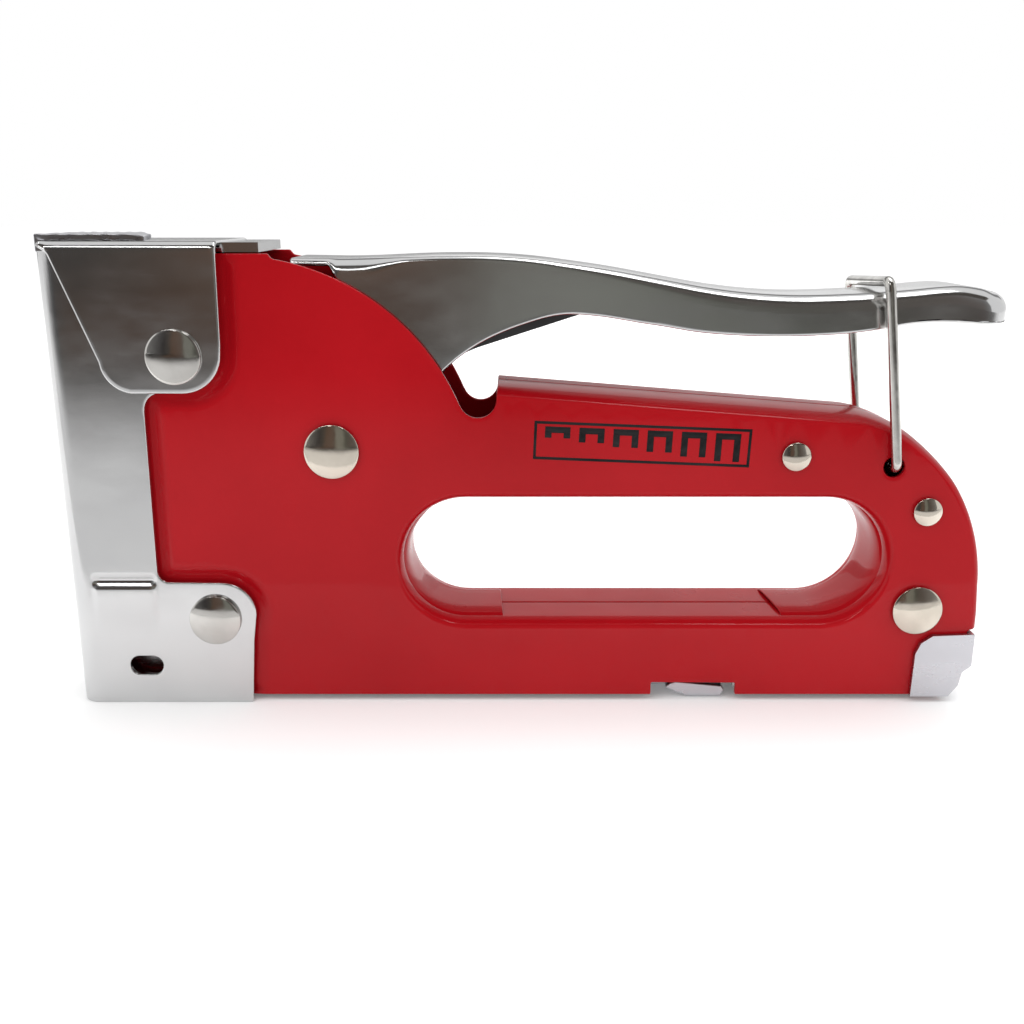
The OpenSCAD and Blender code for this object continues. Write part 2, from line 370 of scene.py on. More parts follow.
@dataclass(frozen=True)
class Plating:
    """Bright plating on sheet steel, slightly wavy, with fine rolling marks."""

    name: str = "chrome_plate"
    tint: Colour = (0.60, 0.60, 0.60)
    shade: Colour = (0.54, 0.54, 0.545)
    rough_low: float = 0.11
    rough_high: float = 0.20
    wave: float = 0.00005

    def build(self) -> bpy.types.Material:
        """Builds the plating with its stains, waviness and grain.

        Returns:
            The material.
        """
        n = Nodes(self.name)
        n.link(n.ramp(n.noise(40.0, 5.0), [(0.32, self.shade), (0.66, self.tint)]),
               n.shader.inputs["Base Color"])
        smear = n.noise(110.0, 5.0, (1.0, 1.0, 2.5), 4.0)
        n.link(n.spread(smear, self.rough_low, self.rough_high), n.shader.inputs["Roughness"])
        n.fix(Metallic=1.0)
        n.bump([(n.noise(45.0, 2.0, seed=1.0), 0.4, self.wave),
                (n.noise(420.0, 4.0, seed=6.0), 0.35, 0.000012)])
        return n.material


@dataclass(frozen=True)
class RivetNickel:
    """Polished, slightly warm nickel, dented by the rivet set."""

    name: str = "nickel_rivet"
    tint: Colour = (0.66, 0.60, 0.52)
    shade: Colour = (0.54, 0.49, 0.42)

    def build(self) -> bpy.types.Material:
        """Builds the rivet finish with tool marks and a patchy polish.

        Returns:
            The material.
        """
        n = Nodes(self.name)
        n.link(n.ramp(n.noise(150.0, 4.0), [(0.35, self.shade), (0.65, self.tint)]),
               n.shader.inputs["Base Color"])
        n.link(n.spread(n.noise(420.0, 4.0, seed=2.0), 0.06, 0.18), n.shader.inputs["Roughness"])
        n.fix(Metallic=1.0)
        n.bump([(n.noise(230.0, 3.0, seed=3.0), 0.4, 0.00006),
                (n.noise(1400.0, 2.0, seed=8.0), 0.3, 0.00001)])
        return n.material


@dataclass(frozen=True)
class BareSteel:
    """Zinc-plated or oiled working steel for the inside parts and the wire."""

    name: str = "bare_steel"
    tint: Colour = (0.50, 0.50, 0.50)
    shade: Colour = (0.30, 0.30, 0.31)
    rough: Point = (0.16, 0.34)

    def build(self) -> bpy.types.Material:
        """Builds the steel with drawn streaks and darker spots.

        Returns:
            The material.
        """
        n = Nodes(self.name)
        n.link(n.ramp(n.noise(120.0, 5.0, (1, 3, 1)), [(0.3, self.shade), (0.65, self.tint)]),
               n.shader.inputs["Base Color"])
        n.link(n.spread(n.noise(300.0, 4.0, (0.3, 1, 3), 2.0), *self.rough),
               n.shader.inputs["Roughness"])
        n.fix(Metallic=1.0)
        n.bump([(n.noise(800.0, 3.0, (0.1, 1, 1), 4.0), 0.3, 0.00001)])
        return n.material


@dataclass(frozen=True)
class DarkCoat:
    """A dull dark coat: blacked steel, printing ink or rubber."""

    name: str
    deep: Colour
    light: Colour
    rough: Point
    grain: float = 900.0
    sheen: float = 0.5

    def build(self) -> bpy.types.Material:
        """Builds the coat with fine grain and uneven sheen.

        Returns:
            The material.
        """
        n = Nodes(self.name)
        n.link(n.ramp(n.noise(160.0, 5.0), [(0.3, self.deep), (0.7, self.light)]),
               n.shader.inputs["Base Color"])
        n.link(n.spread(n.noise(240.0, 3.0, seed=2.0), *self.rough), n.shader.inputs["Roughness"])
        n.fix(Specular_IOR_Level=self.sheen)
        n.bump([(n.noise(self.grain, 3.0, seed=5.0), 0.35, 0.00002)])
        return n.material


class Finishes:
    """Every finish of the gun, built once."""

    def __init__(self) -> None:
        """Builds the materials and keys them by slot."""
        self.by_slot: dict[Slot, bpy.types.Material] = {
            Slot.ENAMEL: Enamel().build(),
            Slot.CHROME: Plating().build(),
            Slot.NICKEL: RivetNickel().build(),
            Slot.STEEL: BareSteel().build(),
            Slot.SPRING: BareSteel("spring_steel", (0.33, 0.33, 0.35), (0.2, 0.2, 0.21)).build(),
            Slot.BLACK: DarkCoat("black_steel", (0.010, 0.010, 0.011), (0.022, 0.022, 0.024),
                                 (0.3, 0.5)).build(),
            Slot.RUBBER: DarkCoat("black_rubber", (0.012, 0.012, 0.012), (0.03, 0.03, 0.03),
                                  (0.6, 0.85)).build(),
        }
        self.cool_nickel = RivetNickel("nickel_rivet_cool", (0.60, 0.585, 0.56),
                                       (0.50, 0.485, 0.46)).build()
        self.zinc = Plating("clip_plate", (0.54, 0.54, 0.57), (0.50, 0.50, 0.525), 0.22, 0.34,
                            ).build()
        self.wire = BareSteel("wire_steel", (0.62, 0.61, 0.58), (0.42, 0.41, 0.39),
                              (0.10, 0.24)).build()
        self.ink = DarkCoat("printing_ink", (0.008, 0.008, 0.009), (0.02, 0.019, 0.02),
                            (0.35, 0.5), sheen=0.12).build()


# ---------------------------------------------------------------- meshes


def place(name: str, mesh: bmesh.types.BMesh) -> bpy.types.Object:
    """Puts a finished mesh into the scene and frees it.

    Args:
        name: Name of the object and of its mesh.
        mesh: The mesh, in metres.

    Returns:
        The new object.
    """
    data = bpy.data.meshes.new(name)
    mesh.to_mesh(data)
    mesh.free()
    obj = bpy.data.objects.new(name, data)
    bpy.context.scene.collection.objects.link(obj)
    return obj


def make_object(name: str, mesh: bmesh.types.BMesh) -> bpy.types.Object:
    """Turns a mesh drawn in millimetres into a smooth-shaded object in metres.

    Args:
        name: Name of the piece.
        mesh: The mesh, in millimetres.

    Returns:
        The new object.
    """
    bmesh.ops.scale(mesh, vec=(MM, MM, MM), verts=mesh.verts)
    obj = place(name, mesh)
    obj.data.shade_smooth()
    return obj


def add_mirror_half(mesh: bmesh.types.BMesh) -> None:
    """Adds the reflection of a left half in the X-Z plane and welds the seam.

    Args:
        mesh: The half, to which its twin is added.
    """
    copy = bmesh.ops.duplicate(mesh, geom=list(mesh.verts) + list(mesh.edges)
                               + list(mesh.faces))["geom"]
    for v in (g for g in copy if isinstance(g, bmesh.types.BMVert)):
        v.co.y = -v.co.y
    bmesh.ops.reverse_faces(mesh, faces=[g for g in copy if isinstance(g, bmesh.types.BMFace)])
    bmesh.ops.remove_doubles(mesh, verts=mesh.verts, dist=WELD)


def turn_outwards(mesh: bmesh.types.BMesh, axis: int, sign: int) -> None:
    """Turns a sheet's faces so that, taken together, they look one way along an axis.

    Args:
        mesh: The sheet.
        axis: Number of the axis: 0 for X, 1 for Y, 2 for Z.
        sign: Way along the axis, 1 or -1.
    """
    bmesh.ops.recalc_face_normals(mesh, faces=mesh.faces)
    if sign * sum(f.normal[axis] * f.calc_area() for f in mesh.faces) < 0:
        bmesh.ops.reverse_faces(mesh, faces=mesh.faces)


def thicken(obj: bpy.types.Object, thickness: float, offset: float = -1.0,
            even: bool = False) -> None:
    """Gives a bare surface its thickness.

    Args:
        obj: The object.
        thickness: Thickness in millimetres.
        offset: Where it grows: -1 is inwards only, 0 is half each way.
        even: Whether corners keep the full thickness.
    """
    shell = obj.modifiers.new("sheet", "SOLIDIFY")
    shell.thickness = thickness * MM
    shell.offset = offset
    shell.use_even_offset = even


def round_edges(obj: bpy.types.Object, width: float, segments: int = 3, angle: float = 40) -> None:
    """Rounds an object's sharp edges in its geometry and evens the shading.

    Args:
        obj: The object.
        width: Width of the rounding in millimetres.
        segments: Steps in the rounding.
        angle: Smallest angle in degrees that counts as an edge.
    """
    bevel = obj.modifiers.new("rounded", "BEVEL")
    bevel.width = width * MM
    bevel.segments = segments
    bevel.limit_method = "ANGLE"
    bevel.angle_limit = math.radians(angle)
    bevel.use_clamp_overlap = False
    bevel.miter_outer = "MITER_ARC"
    even = obj.modifiers.new("even", "WEIGHTED_NORMAL")
    even.weight = 80
    even.keep_sharp = False


def dress(obj: bpy.types.Object, material: bpy.types.Material, slot: Slot, body: str,
          *nodes: str) -> None:
    """Gives a new piece its finish and the body it rides on.

    Args:
        obj: The piece.
        material: Its finish.
        slot: The record's slot; not used.
        body: The CAD body it moves with.
        nodes: CAD nodes it stands for.
    """
    obj.data.materials.clear()
    obj.data.materials.append(material)
    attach(obj, body)
    if nodes:
        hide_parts(*nodes)
    LOG.info("piece %s rides on %s, stands for %s", obj.name, body, ", ".join(nodes) or "-")


@dataclass
class PressedSheet:
    """A panel pressed from sheet metal: a face, rolled edges, a flange and cut edges.

    The face lies in the X-Z plane at y = face_y (negative). Rolled edges turn inwards
    with their own radius and run on as a flange to flange_y. Cut edges just end.
    """

    name: str
    face_y: float
    flange_y: float
    thickness: float
    rolled: list[Edge]
    radii: list[Point]
    cut: list[Point]
    drawn_holes: list[tuple[list[Edge], Point]] = field(default_factory=list)
    holes: list[list[Point]] = field(default_factory=list)
    seeds: list[Point] = field(default_factory=list)
    relief: Callable[[float, float], float] | None = None
    both_sides: bool = False
    edge_round: float = 0.22
    border: float = 0.9
    turns: int = 8
    free_end: int = 0
    seed_gap: float = 0.16

    def depth(self, x: float, z: float) -> float:
        """Y of the face at a point of the side view."""
        return self.face_y + (self.relief(x, z) if self.relief else 0.0)

    def roll(self, mesh: bmesh.types.BMesh, edge: Sequence[Edge], radii: Sequence[Point],
             closed: bool) -> list[bmesh.types.BMVert]:
        """Adds one rolled edge with its flange.

        Args:
            mesh: The mesh to add to.
            edge: Points and outward normals along the edge.
            radii: Inset and depth of the rolled corner at each point.
            closed: Whether the edge is a closed loop.

        Returns:
            The vertices where the roll meets the face.
        """
        rows: list[list[bmesh.types.BMVert]] = []
        deepest = self.face_y + max(deep for _, deep in radii)
        steps = 4 if self.flange_y > deepest + 0.01 else 0
        for k in range(steps):
            rows.append([mesh.verts.new((x, self.flange_y + (self.face_y + deep - self.flange_y)
                                         * k / steps, z))
                         for (x, z, _, _), (_, deep) in zip(edge, radii)])
        for k in range(self.turns + 1):
            t = math.radians(90 * k / self.turns)
            row = []
            for (x, z, nx, nz), (wide, deep) in zip(edge, radii):
                inset = wide * (1 - math.cos(t))
                px, pz = x - nx * inset, z - nz * inset
                row.append(mesh.verts.new((px, self.face_y + deep * (1 - math.sin(t)), pz)))
            rows.append(row)
        count = len(edge)
        for lower, upper in zip(rows, rows[1:]):
            for i in range(count if closed else count - 1):
                j = (i + 1) % count
                mesh.faces.new((lower[i], lower[j], upper[j], upper[i]))
        return rows[-1]

    def fill(self, mesh: bmesh.types.BMesh, outer: list[bmesh.types.BMVert | Point],
             inner: list[list[bmesh.types.BMVert | Point]]) -> None:
        """Fills the face between its outline and its holes, through the seed points.

        Args:
            mesh: The mesh to add to.
            outer: The outline, as vertices or points.
            inner: The outlines of the holes, likewise.
        """
        known: list[bmesh.types.BMVert | Point] = []
        coords: list[Vector] = []
        edges: list[tuple[int, int]] = []
        loops: list[list[Point]] = []
        for loop in [outer, *inner]:
            first = len(known)
            flat: list[Point] = []
            for item in loop:
                spot = (item.co.x, item.co.z) if isinstance(item, bmesh.types.BMVert) else item
                flat.append(spot)
                coords.append(Vector(spot))
                known.append(item)
            edges += [(first + i, first + (i + 1) % len(loop)) for i in range(len(loop))]
            loops.append(flat)
        for x, z in self.seeds:
            if (inside(loops[0], x, z) and not any(inside(h, x, z) for h in loops[1:])
                    and all(distance_to(h + h[:1], x, z) > self.seed_gap for h in loops)):
                coords.append(Vector((x, z)))
                known.append((x, z))
        spots, _, faces, source, _, _ = delaunay_2d_cdt(coords, edges, [], 0, CDT_MERGE)
        made: list[bmesh.types.BMVert] = []
        for spot, ids in zip(spots, source):
            item = known[ids[0]] if ids else (spot.x, spot.y)
            if not isinstance(item, bmesh.types.BMVert):
                item = mesh.verts.new((item[0], self.depth(item[0], item[1]), item[1]))
            made.append(item)
        for face in faces:
            x = sum(spots[i].x for i in face) / len(face)
            z = sum(spots[i].y for i in face) / len(face)
            a, b, c = (spots[i] for i in face[:3])
            area = abs((b.x - a.x) * (c.y - a.y) - (c.x - a.x) * (b.y - a.y))
            if area > SLIVER and inside(loops[0], x, z) and not any(
                    inside(h, x, z) for h in loops[1:]):
                mesh.faces.new([made[i] for i in face])

    def hem(self, mesh: bmesh.types.BMesh, path: Sequence[Point], closed: bool,
            before: Point | None = None, after: Point | None = None,
            ) -> tuple[list[bmesh.types.BMVert], list[bmesh.types.BMVert]]:
        """Adds an even strip along a cut edge, so that the edge rounds cleanly.

        Args:
            mesh: The mesh to add to.
            path: Points of the cut edge, with the sheet on their left.
            closed: Whether the edge is a closed loop.
            before: Point of the outline just before the path.
            after: Point of the outline just after the path.

        Returns:
            The vertices of the edge and those of the strip's inner side.
        """
        count = len(path)
        edge: list[bmesh.types.BMVert] = []
        inner: list[bmesh.types.BMVert] = []
        for i, (x, z) in enumerate(path):
            last = path[i - 1] if i or closed else before
            following = path[(i + 1) % count] if i < count - 1 or closed else after
            ax, az = x - last[0], z - last[1]
            bx, bz = following[0] - x, following[1] - z
            la, lb = math.hypot(ax, az), math.hypot(bx, bz)
            nx, nz = -az / la - bz / lb, ax / la + bx / lb
            size = math.hypot(nx, nz)
            scale = self.border * min(2.0 / max(size, 0.2), 1.9) / size
            edge.append(mesh.verts.new((x, self.depth(x, z), z)))
            qx, qz = x + nx * scale, z + nz * scale
            inner.append(mesh.verts.new((qx, self.depth(qx, qz), qz)))
        for i in range(count if closed else count - 1):
            j = (i + 1) % count
            mesh.faces.new((edge[i], edge[j], inner[j], inner[i]))
        return edge, inner

    def build(self) -> bpy.types.Object:
        """Builds the sheet with its thickness and rounded cut edges.

        Returns:
            The sheet.
        """
        mesh = bmesh.new()
        outer: list[bmesh.types.BMVert | Point] = []
        if self.rolled:
            outer += self.roll(mesh, self.rolled, self.radii, False)
            outer = outer[:len(outer) - self.free_end]
            first, last = outer[0], outer[-1]
            rim, strip = self.hem(mesh, self.cut, False, (last.co.x, last.co.z),
                                  (first.co.x, first.co.z))
            mesh.faces.new((last, rim[0], strip[0]))
            mesh.faces.new((rim[-1], first, strip[-1]))
            outer += strip
        else:
            outer += self.hem(mesh, self.cut, True)[1]
        inner: list[list[bmesh.types.BMVert | Point]] = []
        for edge, radius in self.drawn_holes:
            inner.append(list(self.roll(mesh, edge, [radius] * len(edge), True)))
        for hole in self.holes:
            inner.append(list(self.hem(mesh, list(reversed(hole)), True)[1]))
        self.fill(mesh, outer, inner)
        loose = [v for v in mesh.verts if not v.link_faces]
        bmesh.ops.delete(mesh, geom=loose, context="VERTS")
        turn_outwards(mesh, 1, -1)
        if self.both_sides:
            add_mirror_half(mesh)
        obj = make_object(self.name, mesh)
        thicken(obj, self.thickness, even=True)
        round_edges(obj, self.edge_round)
        return obj


def mirrored(obj: bpy.types.Object, name: str) -> bpy.types.Object:
    """A copy of an object reflected in the X-Z plane, with its modifiers.

    Args:
        obj: The object to reflect.
        name: Name of the copy.

    Returns:
        The copy.
    """
    twin = obj.copy()
    twin.data = obj.data.copy()
    twin.name = name
    twin.data.name = name
    mesh = bmesh.new()
    mesh.from_mesh(twin.data)
    for v in mesh.verts:
        v.co.y = -v.co.y
    bmesh.ops.reverse_faces(mesh, faces=mesh.faces)
    mesh.to_mesh(twin.data)
    mesh.free()
    bpy.context.scene.collection.objects.link(twin)
    return twin


def lathe(mesh: bmesh.types.BMesh, at: Point, profile: Sequence[Point], steps: int) -> None:
    """Adds a turned shape about an axis along Y.

    Args:
        mesh: The mesh to add to.
        at: X and Z of the axis.
        profile: Radius and y pairs; a radius of 0 closes the shape.
        steps: Number of sides.
    """
    rings: list[list[bmesh.types.BMVert]] = []
    for radius, y in profile:
        if radius < 1e-6:
            rings.append([mesh.verts.new((at[0], y, at[1]))])
            continue
        rings.append([mesh.verts.new((at[0] + radius * math.cos(2 * math.pi * i / steps), y,
                                      at[1] + radius * math.sin(2 * math.pi * i / steps)))
                      for i in range(steps)])
    for low, high in zip(rings, rings[1:]):
        for i in range(steps):
            j = (i + 1) % steps
            if len(low) == 1:
                mesh.faces.new((low[0], high[i], high[j]))
            elif len(high) == 1:
                mesh.faces.new((low[i], low[j], high[0]))
            else:
                mesh.faces.new((low[i], low[j], high[j], high[i]))


# ---------------------------------------------------------------- sub-assemblies


def wing_line(corner: int, nook: int) -> list[Point]:
    """Rear edge of the plated nose, from its foot over the wing and up to the cap.

    Args:
        corner: Chords in the wing's round corner.
        nook: Chords in the nook above it.

    Returns:
        The points of the edge.
    """
    return ([(-50.2, 0), (-49.3, 12.2)] + arc((-54.6, 17.3), 6, 0, 90, corner)
            + arc((-63.8, 25.5), 2.1, -90, -180, nook) + [(-65.65, 54.5)])


@dataclass
class SidePlates:
    """The two red side plates with the drawn grip opening."""

    finishes: Finishes
    face_y: float = -10.3
    sheet: float = 0.95
    top_roll: Point = (1.85, 8.0)
    tail_roll: Point = (1.6, 2.2)
    grip_roll: Point = (1.5, 3.2)
    grip_r: float = 11.4
    grip_left: Point = (-10.6, 27.0)
    grip_right: Point = (53.6, 27.0)
    joggle: float = 0.8
    loop_hole: Point = (64.7, 44.4)
    loop_hole_r: float = 1.85
    lip: float = 0.55
    lip_sink: float = 0.5
    lip_fade: float = 50.0
    lip_sheet: float = 0.4
    lip_rows: tuple[float, ...] = (2.5, 4.5, 6, 6.8, 7.4, 7.6)
    lip_steps: int = 40
    left_reach: float = -4.0
    right_reach: float = 46.0
    joggle_flat: float = 0.7
    joggle_run: float = 2.3

    def handle_edge(self) -> list[Edge]:
        """Rolled edge: heel, tail, then forwards along the handle's top.

        Returns:
            Points and normals along the edge.
        """
        heel = [(82.8, 13.9), (82.8, 15.5), (82.78, 17.2)]
        tail = (arc((46.6, 21.1), 35.84, -3, 50, 40)[4:] + arc((55.5, 31.7), 22, 53, 82, 14))
        top = densify([tail[-1], (-4.9, 58.5)], 1.6)[1:]
        return with_normals(heel + tail + top, 1)

    def top_radii(self, edge: Sequence[Edge]) -> list[Point]:
        """Blends the tail's tight roll into the handle's full one.

        Args:
            edge: Points and normals along the rolled edge.

        Returns:
            Inset and depth of the roll at each point.
        """
        out: list[Point] = []
        for x, z, _, _ in edge:
            t = ease((z - 40) / 12) if x > 55 else 1.0
            out.append(tuple(a + (b - a) * t for a, b in zip(self.tail_roll, self.top_roll)))
        return out

    def cut_edge(self) -> list[Point]:
        """Cut edge: notch, front arc, top, front, base and the step above the rear clip.

        Returns:
            The points of the edge.
        """
        notch = arc((-8.3, 56.35), 3.25, -4, -160, 14)
        front = arc((-49.3, 39.6), 41, 22.5, 80.2, 44)
        top = densify([(-42.6, 80.15), (-43.2, 80.9), (-77, 80.9)], 2.5)
        base = [(-77, 1.1), (23.4, 1.1), (23.4, 3.5), (39, 3.4), (39, 1.1), (77, 1.1),
                (78.4, 3.7), (78.9, 6.4), (80.7, 8), (80.7, 13.0)]
        return notch + front + top[:-1] + densify([(-77, 80.9), *base], 2.5)

    def nose_margin(self) -> list[Point]:
        """Line of the plated nose and cap over the plate, from the base up to the top.

        Returns:
            The points of the line.
        """
        return ([(-50.2, -4), *wing_line(8, 5)]
                + arc((-62.6, 54.6), 3, 180, 110, 4) + arc((-58.6, 64.6), 7, 262, 350, 9)
                + [(-51.5, 66), (-51.3, 86)])

    def relief(self, x: float, z: float) -> float:
        """How far the face sinks towards the nose, where the plated sheet lies over it.

        Args:
            x: X of the point.
            z: Z of the point.

        Returns:
            How deep the face lies there, in millimetres.
        """
        if x > -40:
            return 0.0
        margin = self.nose_margin()
        near = distance_to(margin, x, z)
        under = inside([(-90, -4), *margin, (-90, 86)], x, z)
        if under:
            return self.joggle
        fade = 0.35 + 0.65 * ease((z - 12) / 10) if x > -55 else 1.0
        return self.joggle * fade * (1 - ease((near - self.joggle_flat) / self.joggle_run))

    def seed_points(self) -> list[Point]:
        """Points inside the face: a loose grid, and close rows along the joggle.

        Returns:
            The points.
        """
        points = [(x + 0.01, z + 0.37) for x in range(-76, 83, 6) for z in range(4, 80, 6)]
        margin = self.nose_margin()
        x = -66.5
        while x < -42:
            z = 1.6
            while z < 80.5:
                near = distance_to(margin, x, z)
                if near < 3.6 and not inside([(-90, -4), *margin, (-90, 86)], x, z):
                    points.append((x, z))
                z += 0.62
            x += 0.6
        return points

    def lips(self) -> bpy.types.Object:
        """The smooth liners that close the seam at both ends of the grip opening.

        Returns:
            One piece with both liners.
        """
        mesh = bmesh.new()
        across = [-y for y in reversed(self.lip_rows)] + [0, *self.lip_rows]
        half = self.lip_rows[-1]
        for centre, start, reach, sign in ((self.grip_left, 90, self.left_reach, 1),
                                           (self.grip_right, -90, self.right_reach, -1)):
            angles = [start + 180 * i / self.lip_steps for i in range(self.lip_steps + 1)]
            span = abs(reach - centre[0])
            runs = [span * k / 6 for k in range(6, 0, -1)]
            stations = [(a, 0.0) for a in angles]
            if sign > 0:
                stations += [(angles[-1], run) for run in reversed(runs)]
            else:
                stations = [(angles[0], run) for run in runs] + stations
            rows: list[list[bmesh.types.BMVert]] = []
            for angle, run in stations:
                row = []
                for y in across:
                    share = (y + half) / (2 * half)
                    rise = abs(angle - start - (0 if sign > 0 else 180)) / self.lip_fade
                    swell = ease(rise) * (1 - (abs(y) / half) ** 6)
                    lift = (self.lip + self.lip_sink) * swell - self.lip_sink
                    slant = 1 - 0.1 * share if sign > 0 else 0.8 + 0.2 * share
                    r = self.grip_r - lift
                    row.append(mesh.verts.new((
                        centre[0] + r * math.cos(math.radians(angle)) + sign * run * slant, y,
                        centre[1] + r * math.sin(math.radians(angle)))))
                rows.append(row)
            for a, b in zip(rows, rows[1:]):
                for i in range(len(across) - 1):
                    mesh.faces.new((a[i], b[i], b[i + 1], a[i + 1]))
        bmesh.ops.recalc_face_normals(mesh, faces=mesh.faces)
        obj = make_object("grip_lips", mesh)
        thicken(obj, self.lip_sheet, offset=0.0)
        round_edges(obj, 0.14, 2)
        return obj

    def build(self) -> None:
        """Builds both plates and the lips and dresses them."""
        grip = obround(self.grip_left, self.grip_right, self.grip_r, 36)
        ring: list[Edge] = []
        for x, z in grip:
            cx = min(max(x, self.grip_left[0]), self.grip_right[0])
            length = math.hypot(x - cx, z - self.grip_left[1])
            ring.append((x, z, -(x - cx) / length, -(z - self.grip_left[1]) / length))
        edge = self.handle_edge()
        left = PressedSheet(
            "left_side_plate", self.face_y, -0.12, self.sheet, edge, self.top_radii(edge),
            self.cut_edge(), [(ring, self.grip_roll)],
            [arc(self.loop_hole, self.loop_hole_r, 0, 345, 23),
             obround((-70.5, 7.0), (-68.1, 7.0), 2.9, 10)], self.seed_points(), self.relief,
            edge_round=0.25, seed_gap=0.4).build()
        right = mirrored(left, "right_side_plate")
        red = self.finishes.by_slot[Slot.ENAMEL]
        dress(left, red, Slot.ENAMEL, "frame", "left_shell")
        dress(right, red, Slot.ENAMEL, "frame", "right_shell")
        dress(self.lips(), red, Slot.ENAMEL, "frame")


@dataclass
class NoseHousing:
    """The plated nose, its cap and the strip over the lever's tongue."""

    finishes: Finishes
    side_y: float = -11.3
    front_x: float = -82.2
    corner_r: float = 3.5
    sheet: float = 0.95
    cap_y: float = -12.25
    cap_top: float = 83.0
    cap_r: float = 1.9
    fold_front: float = -82.3
    fold_half: int = 9
    fold_run: float = 18.5
    fold_skew: float = 4.6
    fold_z: float = 84.05
    fold_foot_z: float = 81.1
    fold_sheet: float = 1.05
    fold_rows: int = 24

    def louvre(self, x: float, z: float) -> float:
        """Outward bulge of the pressed louvre low on the nose, as a negative depth.

        Args:
            x: X of the point.
            z: Z of the point.

        Returns:
            Depth of the sheet there; negative is outwards.
        """
        ends = ease((x + 78.0) / 1.2) * ease((-66.0 - x) / 1.2)
        trough = 0.5 * math.exp(-((z - 23.7) / 0.72) ** 2)
        swell = 0.42 * ease((23.5 - z) / 1.3) * ease((z - 13.5) / 8.0)
        return (trough - swell) * ends

    def nose(self) -> bpy.types.Object:
        """The nose plate, wrapped round the front as one channel.

        Returns:
            The piece.
        """
        front = [(self.front_x, 81.4 - 81.4 * i / 40) for i in range(41)]
        outline = (wing_line(12, 8)
                   + arc((-62.6, 54.6), 3, 180, 100, 7) + [(-60, 58), (-60, 81.4), (-78.6, 81.4)])
        seeds = [(-78.3 + 0.4 * i + 0.2 * (k % 2), 12.6 + 0.33 * k)
                 for i in range(36) for k in range(40)]
        seeds += [(x, z) for x in range(-77, -50, 5) for z in range(28, 80, 6)]
        cut = densify([(-78.6, 0.0), *outline], 2.2)
        slot = obround((-70.5, 7.4), (-68.1, 7.4), 1.8, 12)
        edge = with_normals(front, 1)
        return PressedSheet(
            "nose_wrap", self.side_y, 0.0, self.sheet, edge,
            [(self.corner_r, self.corner_r)] * len(edge), cut[1:-1], holes=[slot], seeds=seeds,
            relief=self.louvre, both_sides=True, edge_round=0.22, border=0.5).build()

    def cap(self) -> bpy.types.Object:
        """The cap's saddle over the top of the nose.

        Returns:
            The piece.
        """
        top = ([(-51.3 - 28.0 * i / 24, self.cap_top) for i in range(25)]
               + [(-79.3 - 1.6 * i / 5, self.cap_top) for i in range(1, 6)])
        flap = ([(-79.3, self.cap_top - self.cap_r), (-72.4, 63.0)]
                + arc((-66.6, 63.4), 5.8, 195, 262, 9) + arc((-58.6, 64.6), 7, 270, 350, 11)
                + [(-51.5, 66), (-51.3, self.cap_top - self.cap_r)])
        edge = with_normals(top, 1)
        radii = [(1.0 + (self.cap_r - 1.0) * ease((x + 80.8) / 1.7),) * 2 for x, _ in top]
        return PressedSheet(
            "nose_cap", self.cap_y, 0.0, 0.9, edge, radii, densify(flap, 1.8)[1:-1],
            both_sides=True, edge_round=0.42, free_end=5).build()

    def folded_lip(self) -> bpy.types.Object:
        """The doubled sheet on the cap, with its ragged front end and rear edge.

        Returns:
            The piece.
        """
        mesh = bmesh.new()
        rows: list[list[bmesh.types.BMVert]] = []
        cells = 2 * self.fold_half
        for i in range(self.fold_rows + 1):
            share = i / self.fold_rows
            row = []
            for k in range(cells + 1):
                y = k - self.fold_half
                rag = 0.28 * math.sin(3.1 * k) + 0.2 * math.sin(7.7 * k + 1)
                x = self.fold_front + (self.fold_run - self.fold_skew * k / cells) * share
                px = x + (rag * (1 if i > 20 else 0)) + (0.16 * math.sin(5 * k) if i < 2 else 0)
                lift = 0.06 * math.sin(1.7 * i + 0.9 * k) - 0.35 * ease((i - 21) / 3)
                row.append(mesh.verts.new((max(px, self.fold_front), y, self.fold_z + lift)))
            rows.append(row)
        for a, b in zip(rows, rows[1:]):
            for i in range(cells):
                mesh.faces.new((a[i], b[i], b[i + 1], a[i + 1]))
        front = rows[0]
        drop = [mesh.verts.new((v.co.x + 0.12 * math.sin(4 * n), v.co.y,
                                self.fold_foot_z + 0.15 * math.sin(9 * n)))
                for n, v in enumerate(front)]
        for i in range(cells):
            mesh.faces.new((front[i + 1], drop[i + 1], drop[i], front[i]))
        turn_outwards(mesh, 2, 1)
        obj = make_object("cap_folded_lip", mesh)
        thicken(obj, self.fold_sheet)
        round_edges(obj, 0.2, 2, 50)
        return obj

    def build(self) -> None:
        """Builds the nose pieces and dresses them."""
        chrome = self.finishes.by_slot[Slot.CHROME]
        dress(self.nose(), chrome, Slot.CHROME, "frame", "nose_plate")
        dress(self.cap(), chrome, Slot.CHROME, "frame", "top_cap")
        dress(self.folded_lip(), self.finishes.zinc, Slot.CHROME, "frame")


